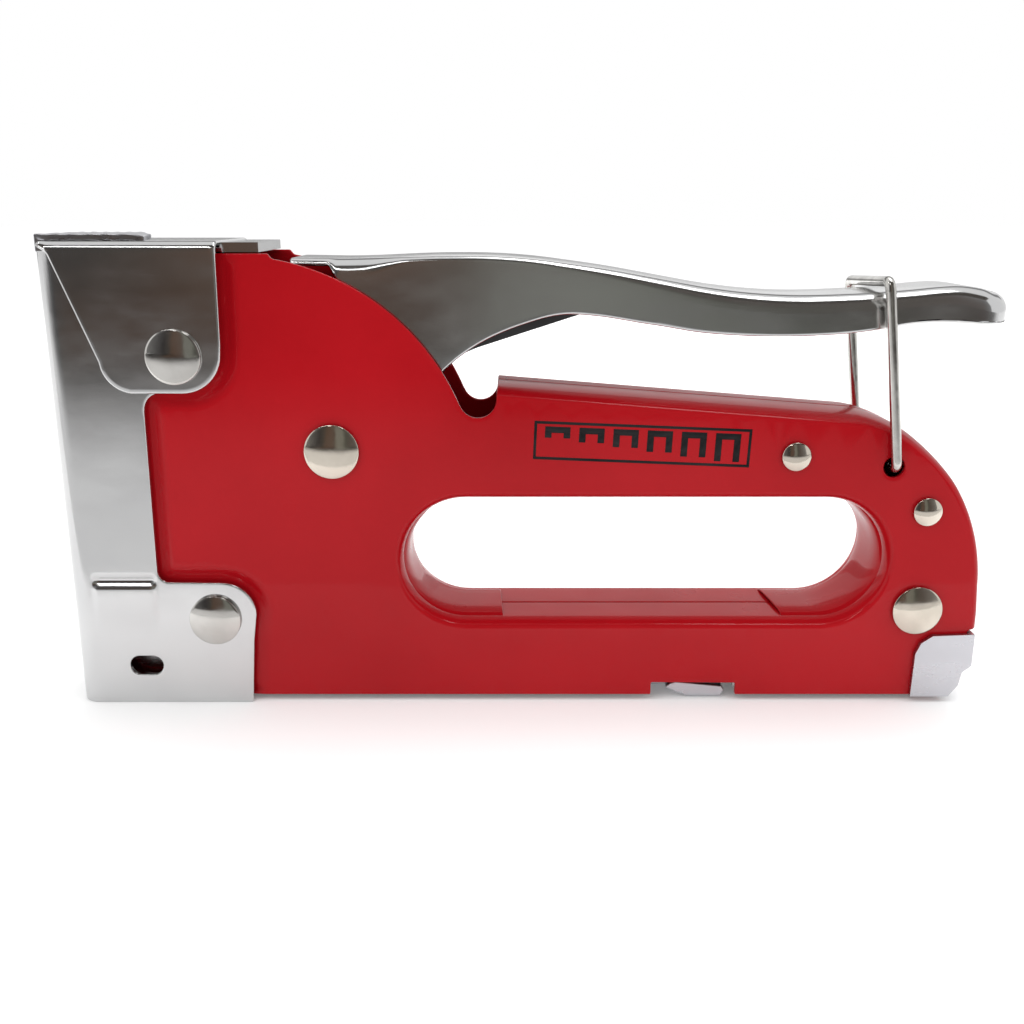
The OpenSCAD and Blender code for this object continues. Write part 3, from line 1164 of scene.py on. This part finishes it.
@dataclass
class Lever:
    """The squeeze lever: a plated channel with rolled top edges and a cupped end."""

    finishes: Finishes
    half: float = 9.0
    sheet: float = 1.1
    pivot: Point = (-33.8, 47.3)
    start_x: float = -32.2
    tongue_x: float = -40.0
    tongue_half: float = 7.7
    tongue_roll: float = 1.25
    corner_x: float = 77.7
    corner_r: float = 6.0
    end_roll: float = 3.3
    foot_z: float = 69.05
    crown: float = 0.3
    turns: int = 8
    wall_rows: int = 8
    panel_cells: int = 6
    shoulder: float = 1.3
    tongue_steps: int = 10
    side_steps: int = 104
    corner_steps: int = 14
    root_r: float = 8.5
    pivot_hole_r: float = 2.7

    crest: tuple[Point, ...] = (
        (-40, 80.1), (-31, 80.0), (-22.5, 80.2), (-14, 80.4), (-6, 80.35), (1, 79.9), (7.5, 79.1),
        (14.5, 78.1), (23, 76.6), (31, 75.2), (38.5, 74.3), (46, 73.9), (53, 74.0), (60.3, 74.35),
        (66, 74.8), (71.2, 75.3), (74.8, 75.4), (78.0, 75.0), (80.4, 74.4))
    belly: tuple[Point, ...] = (
        (-15.2, 60.0), (-14.3, 61), (-11.5, 63.4), (-7.5, 66.0), (-3.7, 67.8), (0.2, 69.2),
        (4, 70.3), (7.7, 70.75), (12.6, 70.4), (16, 69.9), (19.5, 69.3), (22.9, 68.8),
        (29.7, 67.7), (36.8, 67.15), (44, 67), (51, 67.2), (56.2, 67.6), (61.4, 68.3),
        (66, 69.1), (70, 69.35), (74, 69.3), (78, 69.05))

    def radius(self, x: float) -> float:
        """Rolling radius of the top edge along the lever."""
        return curve_at(((-32, 3.3), (-27, 3.2), (-23.5, 2.2), (-20, 1.25), (0, 1.2), (20, 1.9),
                         (40, 2.6), (72, 2.6), (78, 3.3)), x)

    def stations(self) -> list[tuple[float, float, float, float, float, float | None]]:
        """Plan points of the edge: x, y, normal, roll radius and foot height if walled.

        Returns:
            One tuple for each station.
        """
        out: list[tuple[float, float, float, float, float, float | None]] = []
        reach = self.start_x - self.shoulder - self.tongue_x
        for i in range(self.tongue_steps + 1):
            x = self.tongue_x + reach * i / self.tongue_steps
            out.append((x, -self.tongue_half, 0, -1, self.tongue_roll, None))
        for i in range(self.side_steps + 1):
            x = self.start_x + (self.corner_x - self.start_x) * i / self.side_steps
            foot = curve_at(self.belly, x)
            out.append((x, -self.half, 0, -1, self.radius(x), foot))
        inner = self.corner_r - self.half
        for i in range(1, self.corner_steps + 1):
            a = math.radians(-90 + 90 * i / self.corner_steps)
            out.append((self.corner_x + self.corner_r * math.cos(a),
                        inner + self.corner_r * math.sin(a), math.cos(a), math.sin(a),
                        self.end_roll, self.foot_z))
        return out

    def channel(self) -> bpy.types.Object:
        """The lever's sheet, from the tongue under the cap strip to the cupped end.

        Returns:
            The piece.
        """
        mesh = bmesh.new()
        skirts: list[list[bmesh.types.BMVert]] = []
        panels: list[list[bmesh.types.BMVert]] = []

        def skirt(x: float, y: float, nx: float, ny: float, r: float, foot: float | None,
                  shared: bmesh.types.BMVert | None) -> list[bmesh.types.BMVert]:
            """Adds one section of wall and roll, ending in a shared vertex if given.

            Args:
                x: X of the section.
                y: Y of the section.
                nx: X part of its normal.
                ny: Y part of its normal.
                r: Radius of the roll.
                foot: Height of the wall's foot, or None without a wall.
                shared: Vertex in which the section ends, if any.

            Returns:
                The section's vertices, from the foot up.
            """
            column: list[bmesh.types.BMVert] = []
            if foot is not None:
                top = curve_at(self.crest, x) - r
                column += [mesh.verts.new((x, y, foot + (top - foot) * k / self.wall_rows))
                           for k in range(self.wall_rows)]
            for k in range(self.turns + 1):
                t = math.radians(90 * k / self.turns)
                inset = r * (1 - math.cos(t))
                px, py = x - nx * inset, y - ny * inset
                if k == self.turns and shared is not None:
                    column.append(shared)
                    continue
                column.append(mesh.verts.new((px, py, curve_at(self.crest, px)
                                              - r * (1 - math.sin(t)))))
            return column

        for x, y, nx, ny, r, foot in self.stations():
            column = skirt(x, y, nx, ny, r, foot, None)
            end = column[-1].co
            panel = [column[-1]]
            for k in range(1, self.panel_cells + 1):
                share = 1 - k / self.panel_cells
                lift = (self.crown * (1 - share ** 2) * ease((x + 34) / 20)
                        * ease((self.corner_x - 6 - x) / 14))
                panel.append(mesh.verts.new((end.x, end.y * share, end.z + lift)))
            skirts.append(column)
            panels.append(panel)
        last = panels[-1]
        edge_x = self.corner_x + self.corner_r
        for vert in last[1:]:
            skirts.append(skirt(edge_x, vert.co.y, 1, 0, self.end_roll, self.foot_z, vert))
        for a, b in zip(skirts, skirts[1:]):
            rows = min(len(a), len(b))
            a, b = a[-rows:], b[-rows:]
            for k in range(rows - 1):
                mesh.faces.new((a[k], b[k], b[k + 1], a[k + 1]))
        for a, b in zip(panels, panels[1:]):
            for k in range(self.panel_cells):
                mesh.faces.new((a[k], b[k], b[k + 1], a[k + 1]))
        add_mirror_half(mesh)
        turn_outwards(mesh, 2, 1)
        obj = make_object("lever_channel", mesh)
        thicken(obj, self.sheet, even=True)
        round_edges(obj, 0.42, 4)
        return obj

    def root(self) -> bpy.types.Object:
        """The cheeks' round root about the pivot, out of sight between the side plates.

        Returns:
            The piece.
        """
        bottom = arc(self.pivot, self.root_r, 160, 340, 24)
        outline = densify([*bottom, (-15.4, 60.2), (-39.8, 60.2), bottom[0]], 2.5)[:-1]
        return PressedSheet(
            "lever_root", -self.half, 0.0, self.sheet, [], [], outline,
            holes=[arc(self.pivot, self.pivot_hole_r, 0, 340, 17)], both_sides=True, edge_round=0.2,
            border=0.5).build()

    def build(self) -> None:
        """Builds the lever's sheet and dresses it."""
        chrome = self.finishes.by_slot[Slot.CHROME]
        dress(self.channel(), chrome, Slot.CHROME, "lever", "lever_cover")
        dress(self.root(), chrome, Slot.CHROME, "lever")


@dataclass
class Rivets:
    """All domed rivets, both heads and the shank of each."""

    finishes: Finishes

    heads: tuple[tuple[str, tuple[Point, ...], float, float, float, float, bool], ...] = (
        ("cap_rivet", ((-59.5, 64.0),), 4.7, 12.25, 1.55, 2.0, False),
        ("nose_rivet", ((-56.0, 16.4),), 4.6, 11.3, 1.5, 1.7, False),
        ("pivot_rivet", ((-33.8, 47.3),), 4.8, 10.3, 1.8, 2.5, True),
        ("rear_rivet", ((71.1, 17.9),), 4.5, 10.3, 1.7, 2.0, True),
        ("handle_rivets", ((47.3, 46.4), (71.2, 36.4)), 2.55, 10.3, 1.55, 1.2, True),
    )
    dome_rings: int = 14
    sides: int = 48

    def profile(self, radius: float, seat: float, height: float) -> list[Point]:
        """Radius and y of a left-hand head from its seat to the crown.

        Args:
            radius: Radius of the head.
            seat: Distance of its seat from the middle plane.
            height: Height of the head.

        Returns:
            Radius and y pairs.
        """
        rim = 0.42 * height
        soft = 0.16
        points = [(radius - 0.4, -seat + 0.05), (radius - 0.1, -seat - 0.2),
                  (radius, -seat - 0.35)]
        points += [(radius - soft + soft * math.cos(math.radians(a)),
                    -seat - rim - soft * math.sin(math.radians(a))) for a in (0, 30, 60)]
        left = height - rim - soft * 0.87
        for k in range(1, self.dome_rings + 1):
            share = 1 - k / self.dome_rings
            r = (radius - soft * 0.6) * share
            points.append((r, -seat - height + left * share ** 2.1))
        return points

    def build(self) -> None:
        """Builds one piece for each rivet node and dresses it."""
        for node, spots, radius, seat, height, shank, warm in self.heads:
            mesh = bmesh.new()
            for at in spots:
                left = self.profile(radius, seat, height)
                right = [(r, -y) for r, y in left]
                pin = [(shank, -seat + 0.05), (shank, seat - 0.05)]
                lathe(mesh, at, left[::-1] + pin + right, self.sides)
            bmesh.ops.recalc_face_normals(mesh, faces=mesh.faces)
            obj = make_object(f"{node}_domed", mesh)
            even = obj.modifiers.new("even", "WEIGHTED_NORMAL")
            even.weight = 60
            metal = self.finishes.by_slot[Slot.NICKEL] if warm else self.finishes.cool_nickel
            dress(obj, metal, Slot.NICKEL, "frame", node)


@dataclass
class LockLoop:
    """The wire loop that holds the lever down."""

    finishes: Finishes
    foot: Point = (64.7, 44.4)
    head: Point = (60.8, 75.4)
    half_width: float = 11.6
    wire_r: float = 0.9
    bend_r: float = 1.45
    rise: float = 0.45
    lean: float = 0.05
    foot_y: float = 8.9
    bend_steps: int = 10
    sides: int = 20

    def direction(self) -> Point:
        """Unit vector from the feet to the head in the side view."""
        length = math.dist(self.foot, self.head)
        return (self.head[0] - self.foot[0]) / length, (self.head[1] - self.foot[1]) / length

    def route(self) -> list[Vector]:
        """Centre line of the wire, from one in-turned foot round to the other.

        Returns:
            Points along the centre line.
        """
        length = math.dist(self.foot, self.head)
        w, r = self.half_width, self.bend_r
        bend = [math.pi / 2 * i / self.bend_steps for i in range(self.bend_steps + 1)]
        flat: list[Point] = [(self.foot_y, 0.0)]
        flat += [(w - r + r * math.sin(a), r - r * math.cos(a)) for a in bend]
        flat += [(w, r + (length - 2 * r) * i / 8) for i in range(1, 8)]
        flat += [(w - r + r * math.cos(a), length - r + r * math.sin(a)) for a in bend]
        half = flat + [(w - r - (w - r) * i / 4, length) for i in range(1, 4)]
        whole = [(-y, s) for y, s in half] + [(0.0, length)] + list(reversed(half))
        ux, uz = self.direction()
        lifted = [(y, s + (self.rise - self.lean * y) * (s / length) ** 6) for y, s in whole]
        return [Vector((self.foot[0] + ux * s, y, self.foot[1] + uz * s)) for y, s in lifted]

    def build(self) -> None:
        """Sweeps round wire along the route and dresses it."""
        mesh = bmesh.new()
        route = self.route()
        rings: list[list[bmesh.types.BMVert]] = []
        ux, uz = self.direction()
        side = Vector((uz, 0, -ux))
        turn = [2 * math.pi * k / self.sides for k in range(self.sides)]
        for i, spot in enumerate(route):
            along = (route[min(i + 1, len(route) - 1)] - route[max(i - 1, 0)]).normalized()
            other = along.cross(side).normalized()
            rings.append([mesh.verts.new(spot + self.wire_r * (side * math.cos(a)
                          + other * math.sin(a))) for a in turn])
        for a, b in zip(rings, rings[1:]):
            for k in range(self.sides):
                j = (k + 1) % self.sides
                mesh.faces.new((a[k], a[j], b[j], b[k]))
        mesh.faces.new(rings[0])
        mesh.faces.new(rings[-1])
        bmesh.ops.recalc_face_normals(mesh, faces=mesh.faces)
        obj = make_object("wire_loop", mesh)
        round_edges(obj, 0.2, 2, 60)
        dress(obj, self.finishes.wire, Slot.STEEL, "loop", "lock_loop")


@dataclass
class CatchTab:
    """The plated release tab under the grip, hinged at its front end."""

    finishes: Finishes
    parts: tuple[tuple[float, tuple[Point, ...]], ...] = (
        (5.7, ((21.6, 1.2), (24.0, 1.1), (28.4, 1.2), (28.6, 2.9), (25.2, 2.95), (23.6, 3.2),
               (21.6, 3.7), (20.4, 3.2), (19.9, 2.4), (20.4, 1.6))),
        (9.2, ((26.2, 2.1), (28.1, 1.1), (30.3, 0.3), (36.5, 0.3), (37.2, 1.5), (36.7, 2.4),
                (28.1, 3.25), (27.0, 2.9))))

    def build(self) -> None:
        """Builds the hinge end and the wide thumb blade, and dresses them."""
        mesh = bmesh.new()
        for half, outline in self.parts:
            path = densify([*outline, outline[0]], 1.1)[:-1]
            rows = [[mesh.verts.new((x, y, z)) for x, z in path]
                    for y in (-half, -half * 0.4, half * 0.4, half)]
            count = len(path)
            for a, b in zip(rows, rows[1:]):
                for i in range(count):
                    mesh.faces.new((a[i], b[i], b[(i + 1) % count], a[(i + 1) % count]))
            mesh.faces.new(list(reversed(rows[0])))
            mesh.faces.new(rows[-1])
        bmesh.ops.recalc_face_normals(mesh, faces=mesh.faces)
        obj = make_object("release_tab", mesh)
        round_edges(obj, 0.3, 3, 50)
        dress(obj, self.finishes.zinc, Slot.CHROME, "catch", "catch_tab")


@dataclass
class Label:
    """A plain printed frame with a row of staple signs of growing leg length."""

    finishes: Finishes
    corner: Point = (1.3, 45.9)
    size: Point = (37.9, 6.8)
    slope: float = -2.3
    line: float = 0.48
    lift: float = 0.03
    face_y: float = -10.3
    ink: float = 0.025
    first_x: float = 1.9
    pitch: float = 5.95
    top_gap: float = 0.9
    crown: float = 4.4
    leg_width: float = 1.15
    crown_height: float = 1.1
    legs: tuple[float, ...] = (2.0, 2.6, 3.2, 3.8, 4.4, 5.0)

    def bars(self) -> list[tuple[float, float, float, float]]:
        """The printed bars as x0, z0, x1, z1 from the frame's lower left corner.

        Returns:
            One tuple for each bar.
        """
        w, h = self.size
        t = self.line
        bars = [(0, 0, w, t), (0, h - t, w, h), (0, t, t, h - t), (w - t, t, w, h - t)]
        top = h - self.top_gap
        under = top - self.crown_height
        for i, leg in enumerate(self.legs):
            x = self.first_x + self.pitch * i
            end = x + self.crown
            bars += [(x, under, end, top), (x, top - leg, x + self.leg_width, under),
                     (end - self.leg_width, top - leg, end, under)]
        return bars

    def build(self) -> None:
        """Prints the label on the left plate's handle."""
        mesh = bmesh.new()
        c, s = math.cos(math.radians(self.slope)), math.sin(math.radians(self.slope))
        for x0, z0, x1, z1 in self.bars():
            ring = []
            for x, z in ((x0, z0), (x1, z0), (x1, z1), (x0, z1)):
                ring.append(mesh.verts.new((self.corner[0] + x * c - z * s,
                                            self.face_y - self.lift,
                                            self.corner[1] + x * s + z * c)))
            mesh.faces.new(ring)
        bmesh.ops.recalc_face_normals(mesh, faces=mesh.faces)
        for f in mesh.faces:
            f.normal_update()
            if f.normal.y > 0:
                f.normal_flip()
        obj = make_object("printed_label", mesh)
        thicken(obj, self.ink)
        dress(obj, self.finishes.ink, Slot.BLACK, "frame")


@dataclass
class CarriedParts:
    """CAD pieces that keep their shape and get edges and a finish."""

    finishes: Finishes

    rounded: tuple[tuple[str, Slot, float], ...] = (
        ("top_strip", Slot.CHROME, 0.22), ("rear_clip", Slot.CHROME, 0.15),
        ("lifter_arm", Slot.BLACK, 0.2), ("magazine_channel", Slot.STEEL, 0.15),
        ("staple_rail", Slot.STEEL, 0.15), ("pusher", Slot.STEEL, 0.2),
        ("striker_blade", Slot.STEEL, 0.12), ("plunger_block", Slot.STEEL, 0.3),
        ("bumper", Slot.RUBBER, 0.4),
        ("spring_seat", Slot.STEEL, 0.2), ("spacers", Slot.STEEL, 0.15),
        ("catch_pin", Slot.STEEL, 0.1), ("pusher_rod", Slot.STEEL, 0.15),
        ("drive_spring", Slot.SPRING, 0.0), ("pusher_spring", Slot.SPRING, 0.0))

    def build(self) -> None:
        """Dresses every CAD node that stays in view."""
        for node, slot, width in self.rounded:
            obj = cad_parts[node]
            obj.data.materials.clear()
            obj.data.materials.append(self.finishes.zinc if node == "rear_clip"
                                      else self.finishes.by_slot[slot])
            if width:
                round_edges(obj, width, 2, 38)
            LOG.info("CAD node %s keeps its shape, finish %s", node, slot.value)


@dataclass
class Studio:
    """Floor, cards, lights and camera."""

    eye: tuple[float, float, float] = (-2.35, -197.3, 87.9)
    pitch: float = 15.43
    lens: float = 38.47
    room: tuple[tuple[float, Colour], ...] = (
        (-2.2, (0.30, 0.30, 0.30)), (-0.80, (0.06, 0.056, 0.056)), (-0.60, (0.09, 0.082, 0.073)),
        (-0.45, (0.15, 0.10, 0.075)), (-0.20, (0.16, 0.115, 0.095)), (-0.10, (0.14, 0.11, 0.09)),
        (0.0, (0.26, 0.26, 0.235)), (0.25, (0.25, 0.255, 0.225)), (0.42, (0.12, 0.12, 0.105)),
        (0.65, (0.14, 0.12, 0.11)), (2.2, (0.30, 0.30, 0.30)))
    wall: tuple[tuple[float, Colour], ...] = (
        (-2.2, (0.45, 0.45, 0.45)), (-0.3, (0.42, 0.42, 0.42)), (0.0, (0.40, 0.40, 0.40)),
        (0.35, (0.75, 0.75, 0.75)), (2.2, (0.95, 0.95, 0.95)))
    ground_far: tuple[tuple[float, Colour], ...] = (
        (-1.4, (0.10, 0.10, 0.10)), (-0.58, (0.045, 0.041, 0.040)), (-0.48, (0.06, 0.054, 0.048)),
        (-0.36, (0.110, 0.072, 0.052)), (-0.14, (0.120, 0.082, 0.067)),
        (-0.07, (0.098, 0.073, 0.060)), (-0.02, (0.27, 0.272, 0.247)),
        (0.03, (0.29, 0.295, 0.265)), (0.17, (0.235, 0.240, 0.215)),
        (0.27, (0.090, 0.092, 0.081)), (0.42, (0.106, 0.090, 0.082)), (1.4, (0.25, 0.25, 0.25)))
    ground_near: tuple[tuple[float, Colour], ...] = (
        (-0.215, (0.080, 0.077, 0.073)), (-0.12, (0.115, 0.112, 0.108)),
        (-0.035, (0.34, 0.335, 0.33)), (0.04, (0.70, 0.70, 0.70)), (0.105, (0.92, 0.92, 0.92)),
        (0.215, (0.93, 0.93, 0.93)))

    def card(self, name: str, size: Point, at: tuple[float, float, float],
             upright: bool, bands: Sequence[tuple[float, Colour]], along: str = "X") -> None:
        """A large card that shows only in reflections.

        Args:
            name: Name of the card.
            size: Width and height in metres.
            at: Centre in metres.
            upright: Whether the card stands; otherwise it lies on the floor.
            bands: Position and brightness pairs, measured from the card's centre.
            along: The card's own axis that the bands follow, X or Y.
        """
        mesh = bmesh.new()
        bmesh.ops.create_grid(mesh, x_segments=2, y_segments=2, size=0.5)
        for v in mesh.verts:
            v.co.x *= size[0]
            v.co.y *= size[1]
        obj = place(name, mesh)
        obj.location = at
        obj.rotation_euler = (math.radians(90) if upright else 0.0, 0.0, 0.0)
        n = Nodes(name)
        n.fix(Base_Color=(0, 0, 0, 1), Roughness=1.0, Specular_IOR_Level=0.0,
              Emission_Strength=1.0)
        split = n.add("ShaderNodeSeparateXYZ")
        n.link(n.where, split.inputs[0])
        low, high = bands[0][0], bands[-1][0]
        stops = [((spot - low) / (high - low), colour) for spot, colour in bands]
        drift = 0.01 * (high - low)
        blur = n.add("ShaderNodeMath", operation="ADD")
        n.link(n.spread(n.noise(3.0, 3.0), -drift, drift), blur.inputs[0])
        n.link(split.outputs[along], blur.inputs[1])
        n.link(n.ramp(n.spread(blur.outputs[0], 0.0, 1.0, low, high), stops),
               n.shader.inputs["Emission Color"])
        obj.data.materials.append(n.material)
        obj.visible_camera = False
        obj.visible_diffuse = False
        obj.visible_shadow = False
        obj.visible_transmission = False

    def lamp(self, name: str, at: tuple[float, float, float], size: Point, watts: float,
             target: tuple[float, float, float] = (0, 0, 0.04),
             mirrored_in_gloss: bool = True) -> None:
        """Adds a soft rectangular light.

        Args:
            name: Name of the light.
            at: Where it hangs, in metres.
            size: Its two sides in metres.
            watts: Its power.
            target: Point it is aimed at, in metres.
            mirrored_in_gloss: Whether glossy surfaces mirror it.
        """
        data = bpy.data.lights.new(name, "AREA")
        data.shape = "RECTANGLE"
        data.size, data.size_y = size
        data.energy = watts
        obj = bpy.data.objects.new(name, data)
        obj.location = at
        obj.rotation_euler = (Vector(target) - Vector(at)).to_track_quat("-Z", "Y").to_euler()
        obj.visible_camera = False
        obj.visible_glossy = mirrored_in_gloss
        bpy.context.scene.collection.objects.link(obj)

    def build(self) -> None:
        """Sets up the whole studio."""
        mesh = bmesh.new()
        bmesh.ops.create_grid(mesh, x_segments=8, y_segments=8, size=6.0)
        floor = place("floor", mesh)
        n = Nodes("floor_paper")
        n.link(n.ramp(n.noise(8.0, 3.0), [(0.3, (0.91, 0.91, 0.91)), (0.7, (0.93, 0.93, 0.93))]),
               n.shader.inputs["Base Color"])
        n.fix(Roughness=0.9, Specular_IOR_Level=0.1, Emission_Color=(1.0, 1.0, 1.0, 1.0),
              Emission_Strength=0.12)
        floor.data.materials.append(n.material)

        self.card("dark_room", (4.4, 1.9), (0, -1.5, 0.95), True, self.room)
        self.card("far_floor", (2.8, 1.07), (0, -1.035, 0.002), False, self.ground_far)
        self.card("near_floor", (2.8, 0.43), (0, -0.285, 0.002), False, self.ground_near, "Y")
        self.card("dark_ceiling", (4.4, 1.15), (0, -0.93, 1.9), False,
                  ((-2.2, (0.06, 0.055, 0.05)), (2.2, (0.10, 0.09, 0.08))))
        self.card("dim_back", (4.4, 1.1), (0, 1.5, 1.35), True,
                  ((-2.2, (0.34, 0.34, 0.34)), (2.2, (0.28, 0.28, 0.28))))
        self.card("grey_wall", (4.4, 0.30), (0, 1.5, 0.15), True, self.wall)

        world = bpy.data.worlds.new("studio")
        bpy.context.scene.world = world
        world.use_nodes = True
        sky = world.node_tree.nodes["Background"]
        sky.inputs["Color"].default_value = (1.0, 1.0, 1.0, 1.0)
        sky.inputs["Strength"].default_value = 1.0

        self.lamp("key", (-0.45, -0.5, 0.95), (0.7, 0.05), 1.2)
        self.lamp("top", (0.2, 0.1, 1.0), (0.7, 0.25), 3.0)
        self.lamp("back", (0.05, 0.75, 0.36), (0.8, 0.12), 2.6, mirrored_in_gloss=False)

        data_cam = bpy.data.cameras.new("camera")
        data_cam.sensor_width = 36.0
        data_cam.lens = self.lens
        data_cam.clip_start = 0.01
        camera = bpy.data.objects.new("camera", data_cam)
        camera.location = tuple(v * MM for v in self.eye)
        camera.rotation_euler = (math.radians(90 - self.pitch), 0, 0)
        bpy.context.scene.collection.objects.link(camera)
        bpy.context.scene.camera = camera
        bpy.context.scene.view_settings.view_transform = "Standard"


def main() -> None:
    """Builds every sub-assembly in order."""
    logging.basicConfig(level=logging.INFO, format="%(name)s: %(message)s")
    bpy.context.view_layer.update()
    Studio().build()
    finishes = Finishes()
    for part in (SidePlates, NoseHousing, Lever, Rivets, LockLoop, CatchTab, Label, CarriedParts):
        part(finishes).build()
        LOG.info("%s built", part.__name__)
    bpy.context.view_layer.update()


if __name__ == "__main__":
    main()
